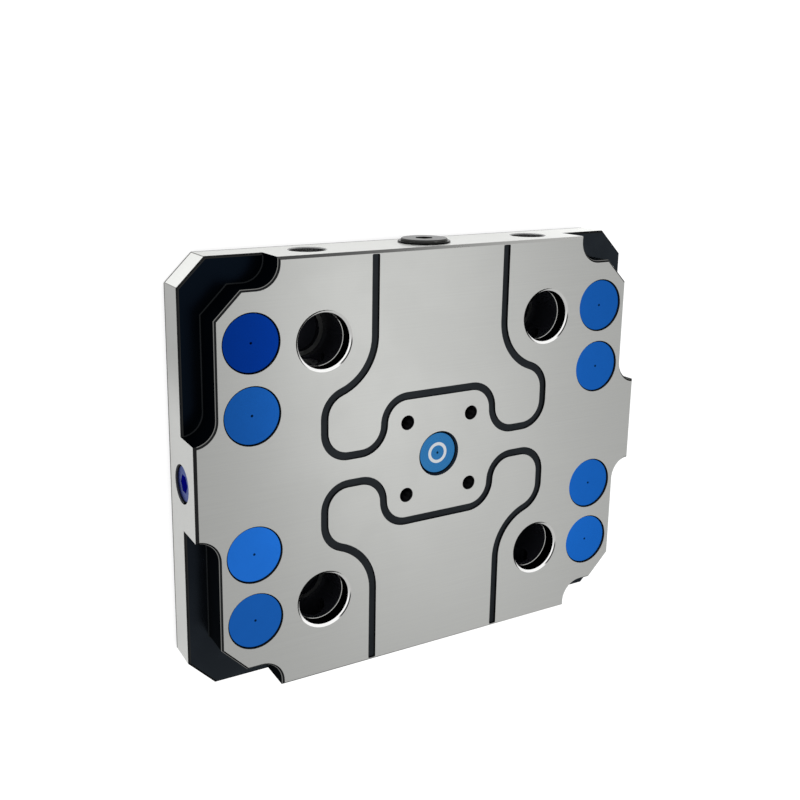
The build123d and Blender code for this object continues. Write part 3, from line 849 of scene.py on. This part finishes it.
def cut_threads(mesh, plan, material):
    """Put threaded walls in place of the tapped holes' plain ones, on the same rings of points."""
    top, length = plan.top - TAP_CHAMFER, TAP_DEPTH - TAP_CHAMFER

    def plain_wall(face):
        place = face.calc_center_median() / MM
        return (abs(face.normal.z) < NORMAL_SLACK and top - length < place.z < top
                and near(place, plan.taps, plan.tap_radius))

    plain = [face for face in mesh.faces if plain_wall(face)]
    bmesh.ops.delete(mesh, geom=plain, context="FACES")
    walls = mesh_from_tree(thread_tree(), {
        "Radius": plan.tap_radius * MM, "Thread Depth": THREAD_DEPTH * MM,
        "Pitch": THREAD_PITCH * MM, "Length": length * MM, "Top": top * MM,
        "Spacing": 2 * abs(plan.taps[0][0]) * MM, "Sides": THREAD_SIDES,
        "Rows": round(length / THREAD_PITCH * STEPS_PER_PITCH) + 1, "Material": material})
    mesh.from_mesh(walls)
    bpy.data.meshes.remove(walls)
    bmesh.ops.remove_doubles(mesh, verts=mesh.verts, dist=2 * WELD_DISTANCE_M)


def shade_by_angle(data):
    """Smooth shading up to a limit angle, without the loader's own normals."""
    if "custom_normal" in data.attributes:
        data.attributes.remove(data.attributes["custom_normal"])
    data.shade_smooth()
    data.set_sharp_from_angle(angle=math.radians(SMOOTH_ANGLE_DEG))


def add_plate(frame, finishes):
    """The plate with a material for each finish. Its grain layer runs along X, and along Y on the
    end faces."""
    plan = PlatePlan(frame["record"])
    piece, mesh = own_copy(frame["nodes"]["clamping_plate"], "plate")
    cut_threads(mesh, plan, finishes["thread"])
    mesh.normal_update()
    names = list(finishes)
    grain = mesh.loops.layers.uv.new("grain")
    for face in mesh.faces:
        place = face.calc_center_median() / MM
        face.material_index = names.index(finish_of(place, face.normal, plan))
        on_end = abs(face.normal.x) > END_NORMAL
        steep = abs(face.normal.z) < TILTED_NORMAL
        for loop in face.loops:
            x, y, z = loop.vert.co
            along, beside = (y, x) if on_end else (x, y)
            loop[grain].uv = (along, z if steep else beside)
    mesh.to_mesh(piece.data)
    mesh.free()
    for name in names:
        piece.data.materials.append(finishes[name])
    shade_by_angle(piece.data)
    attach(piece, "base")
    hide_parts("clamping_plate")


def add_spring(frame, side, material):
    """A return spring, a welded copy of the imported one, attached to the base."""
    name = f"return_spring_{side}"
    piece, mesh = own_copy(frame["nodes"][name], f"spring_{side}")
    mesh.to_mesh(piece.data)
    mesh.free()
    piece.data.materials.append(material)
    shade_by_angle(piece.data)
    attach(piece, "base")
    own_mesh(piece)
    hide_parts(name)


# Studio

def soft_box(name, direction, size, brightness):
    """A rectangular lamp that faces the plate, its width along X. Brightness 1 is white."""
    towards = Vector(direction).normalized()
    across = (Vector((1, 0, 0)) - towards.x * towards).normalized()
    data = bpy.data.lights.new(name, "AREA")
    data.shape = "RECTANGLE"
    data.size, data.size_y = size
    data.energy = brightness * math.pi * size[0] * size[1]
    lamp = bpy.data.objects.new(name, data)
    lamp.location = towards * LAMP_DISTANCE_M
    turn = Matrix((across, towards.cross(across), towards)).transposed()
    lamp.rotation_euler = turn.to_euler()
    bpy.context.scene.collection.objects.link(lamp)


def seen_directly_or_mirrored(nodes):
    """1 on a ray of the camera, or one that a mirror or glass surface sends on."""
    path = nodes.add("ShaderNodeLightPath").outputs
    mirrored = nodes.math("ADD", path["Is Glossy Ray"], path["Is Transmission Ray"])
    return nodes.math("ADD", path["Is Camera Ray"], mirrored, clamp=True)


def floor_mesh():
    """A wide square with an opening under the plate, cut off at the corners like the plate."""
    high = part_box("clamping_plate")[1]
    x, y = high.x - FLOOR_INSET * MM, high.y - FLOOR_INSET * MM
    cut, far = CORNER_CUT * MM, FLOOR_REACH_M
    outer = [(-far, -far), (far, -far), (far, far), (-far, far)]
    inner = [(-x, cut - y), (cut - x, -y), (x - cut, -y), (x, cut - y),
             (x, y - cut), (x - cut, y), (cut - x, y), (-x, y - cut)]
    faces = [(0, 1, 6, 5), (0, 5, 4), (1, 7, 6), (1, 2, 8, 7), (2, 9, 8), (2, 3, 10, 9),
             (3, 11, 10), (3, 0, 4, 11)]
    mesh = bpy.data.meshes.new("floor")
    mesh.from_pydata([(*corner, -FLOOR_DROP_M) for corner in outer + inner], [], faces)
    return mesh


def floor_material():
    """Pale grey to the light, white with a contact shadow to the camera, clear from below."""
    material = bpy.data.materials.new("floor")
    material.use_nodes = True
    n = Nodes(material.node_tree)
    lit, shade = (n.add("ShaderNodeBsdfDiffuse", values={"Color": grey(tone)}).outputs[0]
                  for tone in (FLOOR_GREY, FLOOR_SEEN_GREY))
    gap = n.add("ShaderNodeAmbientOcclusion", values={"Distance": SHADOW_REACH_M},
                samples=SHADOW_SAMPLES).outputs["AO"]
    from_plate = n.add("ShaderNodeVectorMath", {"Vector": object_place(n)},
                       operation="LENGTH").outputs["Value"]
    strength = n.math("ADD", n.ramp(gap, 0.02, 0.35, 0.05, 0.85),
                      n.ramp(from_plate, *FADE_M, 0.0, 0.2))
    white = n.add("ShaderNodeEmission", {"Strength": strength}).outputs[0]
    both = n.add("ShaderNodeAddShader")
    n.link(shade, both.inputs[0])
    n.link(white, both.inputs[1])
    above = n.mix_shaders(seen_directly_or_mirrored(n), lit, both.outputs[0])
    from_below = n.add("ShaderNodeNewGeometry").outputs["Backfacing"]
    clear = n.add("ShaderNodeBsdfTransparent").outputs[0]
    n.add("ShaderNodeOutputMaterial", {"Surface": n.mix_shaders(from_below, above, clear)})
    return material


def add_floor():
    mesh = floor_mesh()
    mesh.materials.append(floor_material())
    floor = bpy.data.objects.new("floor", mesh)
    bpy.context.scene.collection.objects.link(floor)


def add_world():
    """Even room light, and a white backdrop for the camera and in what the metal mirrors."""
    world = bpy.data.worlds.new("studio")
    world.use_nodes = True
    bpy.context.scene.world = world
    n = Nodes(world.node_tree)
    room, white = (n.add("ShaderNodeBackground",
                         values={"Color": grey(1), "Strength": level}).outputs[0]
                   for level in (ROOM_LIGHT, BACKDROP_LIGHT))
    seen = n.mix_shaders(seen_directly_or_mirrored(n), room, white)
    n.add("ShaderNodeOutputWorld", {"Surface": seen})


def main():
    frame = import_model()
    bpy.context.scene.view_settings.view_transform = "Standard"
    add_camera()

    add_plate(frame, plate_finishes())
    by_word = piece_materials()
    hardened = plain_metal("hardened steel", (0.5, 0.5, 0.51), 0.3)
    for name, node in frame["nodes"].items():
        material = next((m for word, m in by_word.items() if word in name), hardened)
        node.data.materials.clear()
        node.data.materials.append(material)
    for side in ("left", "right"):
        add_spring(frame, side, by_word["spring"])

    add_floor()
    add_world()
    for name, lamp in SOFT_BOXES.items():
        soft_box(name, *lamp)


main()
